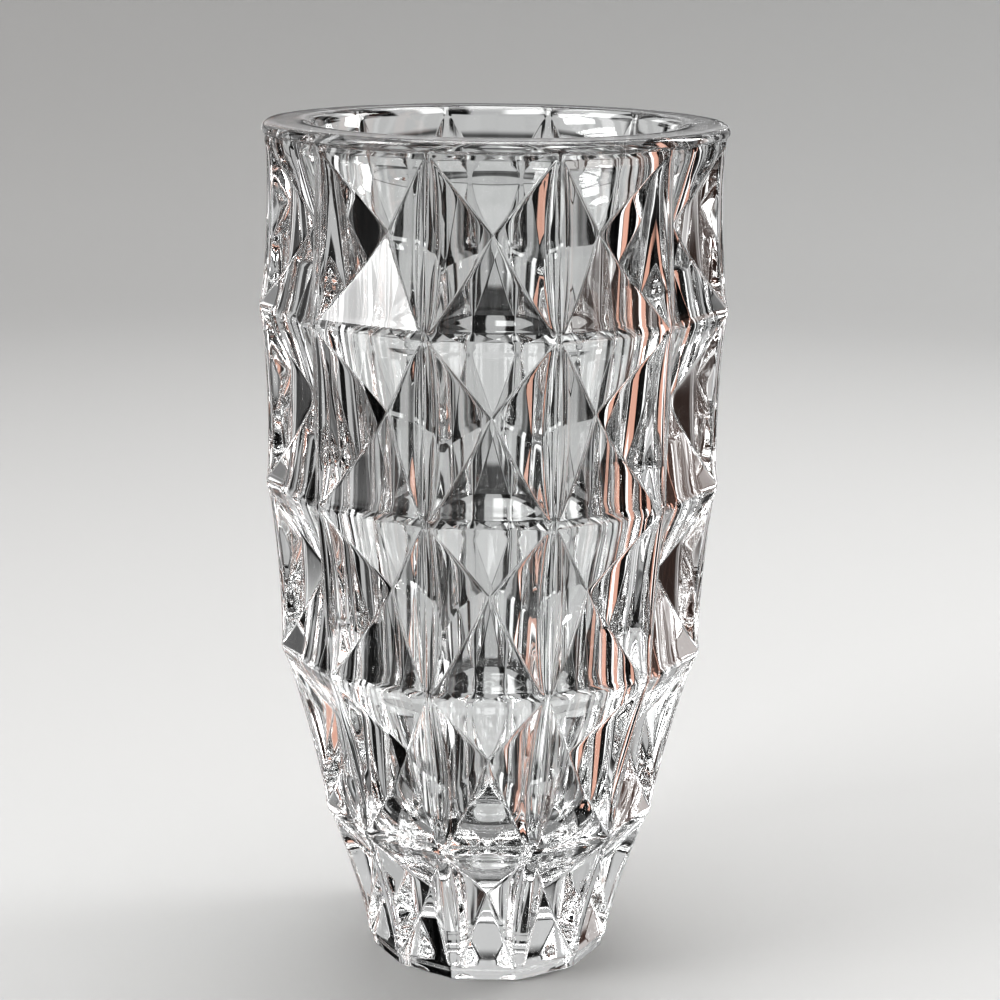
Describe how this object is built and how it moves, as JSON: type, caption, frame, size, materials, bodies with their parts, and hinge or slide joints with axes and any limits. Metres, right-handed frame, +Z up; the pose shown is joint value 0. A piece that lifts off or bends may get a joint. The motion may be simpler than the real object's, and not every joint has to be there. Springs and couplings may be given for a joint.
{
  "type": "cut crystal vase",
  "caption": "Tall flared vase of thick clear crystal, its twelve-sided wall pressed with tiers of inward pyramids under a smooth round rim.",
  "frame": {"origin": "middle of the flat underside, on the axis, at the height of the surface that the vase stands on", "axes": "+Z up along the axis to the rim; -Y through the middle of one column of notches; X completes the frame"},
  "size_m": [0.163, 0.163, 0.305],
  "materials": {
    "crystal": "clear polished"
  },
  "bodies": {
    "root": {"vase_body": "crystal"}
  },
  "joints": []
}
